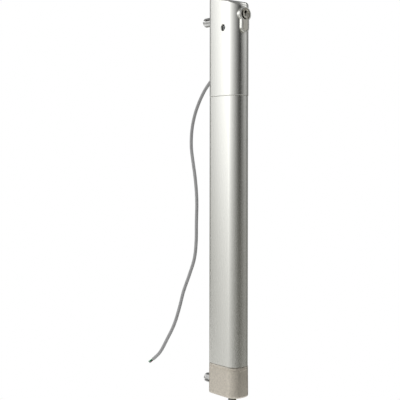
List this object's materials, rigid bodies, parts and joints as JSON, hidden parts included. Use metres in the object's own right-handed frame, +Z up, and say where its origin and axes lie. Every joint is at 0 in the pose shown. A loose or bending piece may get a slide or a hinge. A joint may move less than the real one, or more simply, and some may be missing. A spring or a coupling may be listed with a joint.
{
  "type": "linear actuator",
  "caption": "Slim upright housing with an electric screw drive that pushes a round steel bolt out of its foot, a key-operated release, rear fixing studs and a hanging supply cable",
  "frame": {"origin": "on the flat rear face of the housing, on its centre line, midway between the two rear fixings", "axes": "+Z up along the housing, against the bolt's throw; +Y out of the flat rear face towards the gate; -Y the rounded front with the lock; the access hole for the lock screw is on the -X side"},
  "size_m": [0.0831, 0.1503, 0.5955],
  "materials": {
    "anodised": "satin silver anodised extrusion",
    "casting": "sand-cast, lightly mottled",
    "nickel": "satin nickel plated brass",
    "steel": "turned and ground steel",
    "dark_steel": "dark oiled steel",
    "zinc": "bright zinc plated steel",
    "brass": "machined brass",
    "bronze": "sintered bronze",
    "black_rubber": "matt black rubber",
    "grey_pvc": "grey PVC cable sheath",
    "white_nylon": "natural nylon",
    "green_board": "green solder mask on glass-epoxy board",
    "green_plastic": "moulded green plastic",
    "blue_plastic": "blue shrink sleeve",
    "red_pvc": "red PVC insulation",
    "black_pvc": "black moulded plastic"
  },
  "bodies": {
    "housing": {"head_cover": "anodised", "tube": "anodised", "bottom_cap": "casting", "bulkhead": "casting", "lock_body": "nickel", "top_fixing_sleeve": "steel", "bottom_fixing_sleeve": "steel", "lock_screw": "steel", "release_spring": "steel", "ring_gear": "steel", "thrust_bearing": "steel", "top_fixing_stud": "dark_steel", "bottom_fixing_stud": "dark_steel", "head_screw_left": "zinc", "head_screw_right": "zinc", "cap_screw_left": "zinc", "cap_screw_right": "zinc", "tube_screw": "zinc", "gearbox_screw": "zinc", "bearing_screw": "zinc", "top_fixing_block": "zinc", "top_fixing_washer": "zinc", "bottom_fixing_washer": "zinc", "chassis": "zinc", "lock_carrier": "zinc", "motor_can": "zinc", "gearbox_plate": "zinc", "bearing_plate": "zinc", "rod_guide_bush": "bronze", "carrier_bush": "bronze", "rod_wiper": "black_rubber", "cable_grommet": "black_rubber", "cable": "grey_pvc", "relay": "white_nylon", "circuit_board": "green_board", "sensor_board": "green_board", "terminal_block": "green_plastic", "capacitor": "blue_plastic", "motor_lead_red": "red_pvc", "motor_lead_black": "black_pvc", "motor_end_cap": "black_pvc", "end_sensor_upper": "black_pvc", "end_sensor_lower": "black_pvc"},
    "rod": {"rod": "dark_steel", "rod_nut": "brass", "carriage": "white_nylon", "position_magnet": "dark_steel"},
    "screw": {"lead_screw": "steel", "screw_retaining_ring": "dark_steel"},
    "clutch": {"clutch_sleeve": "steel"},
    "sun": {"sun_gear": "steel"},
    "carrier": {"planet_carrier": "steel"},
    "planet_1": {"planet_gear_1": "brass"},
    "planet_2": {"planet_gear_2": "brass"},
    "planet_3": {"planet_gear_3": "brass"},
    "key": {"lock_plug": "nickel", "lock_cam": "steel"},
    "release": {"release_slider": "zinc", "release_rod": "steel", "release_fork": "zinc"}
  },
  "joints": [
    {"name": "rod_slide", "type": "slide", "parent": "housing", "child": "rod", "axis": [0, 0, -1], "range_m": [0, 0.09]},
    {"name": "screw_spin", "type": "hinge", "parent": "housing", "child": "screw", "pos_m": [0, -0.0363, 0], "axis": [0, 0, 1], "range_deg": [0, 5401]},
    {"name": "carrier_spin", "type": "hinge", "parent": "housing", "child": "carrier", "pos_m": [0, -0.0363, 0], "axis": [0, 0, 1], "range_deg": [0, 5401]},
    {"name": "sun_spin", "type": "hinge", "parent": "housing", "child": "sun", "pos_m": [0, -0.0363, 0], "axis": [0, 0, 1], "range_deg": [0, 21602]},
    {"name": "planet_spin_1", "type": "hinge", "parent": "carrier", "child": "planet_1", "pos_m": [0.0072, -0.0363, 0], "axis": [0, 0, 1], "range_deg": [-16202, 0]},
    {"name": "planet_spin_2", "type": "hinge", "parent": "carrier", "child": "planet_2", "pos_m": [-0.0036, -0.03007, 0], "axis": [0, 0, 1], "range_deg": [-16202, 0]},
    {"name": "planet_spin_3", "type": "hinge", "parent": "carrier", "child": "planet_3", "pos_m": [-0.0036, -0.04254, 0], "axis": [0, 0, 1], "range_deg": [-16202, 0]},
    {"name": "key_turn", "type": "hinge", "parent": "housing", "child": "key", "pos_m": [0, -0.0355, 0.2702], "axis": [0, 1, 0], "range_deg": [0, 60]},
    {"name": "release_slide", "type": "slide", "parent": "housing", "child": "release", "axis": [0, 0, -1], "range_m": [0, 0.00998], "stiffness_N_per_m": 300, "springref_m": -0.01, "deforming": ["release_spring"]},
    {"name": "clutch_slide", "type": "slide", "parent": "screw", "child": "clutch", "axis": [0, 0, -1], "range_m": [0, 0.0101]}
  ],
  "couplings": [
    {"joint": "screw_spin", "follows": "rod_slide", "rad_per_m": 1047.2},
    {"joint": "carrier_spin", "follows": "rod_slide", "rad_per_m": 1047.2},
    {"joint": "sun_spin", "follows": "rod_slide", "rad_per_m": 4188.8},
    {"joint": "planet_spin_1", "follows": "rod_slide", "rad_per_m": -3141.6},
    {"joint": "planet_spin_2", "follows": "rod_slide", "rad_per_m": -3141.6},
    {"joint": "planet_spin_3", "follows": "rod_slide", "rad_per_m": -3141.6},
    {"joint": "key_turn", "follows": "release_slide", "rad_per_m": 104.82},
    {"joint": "clutch_slide", "follows": "release_slide", "ratio": 1}
  ]
}
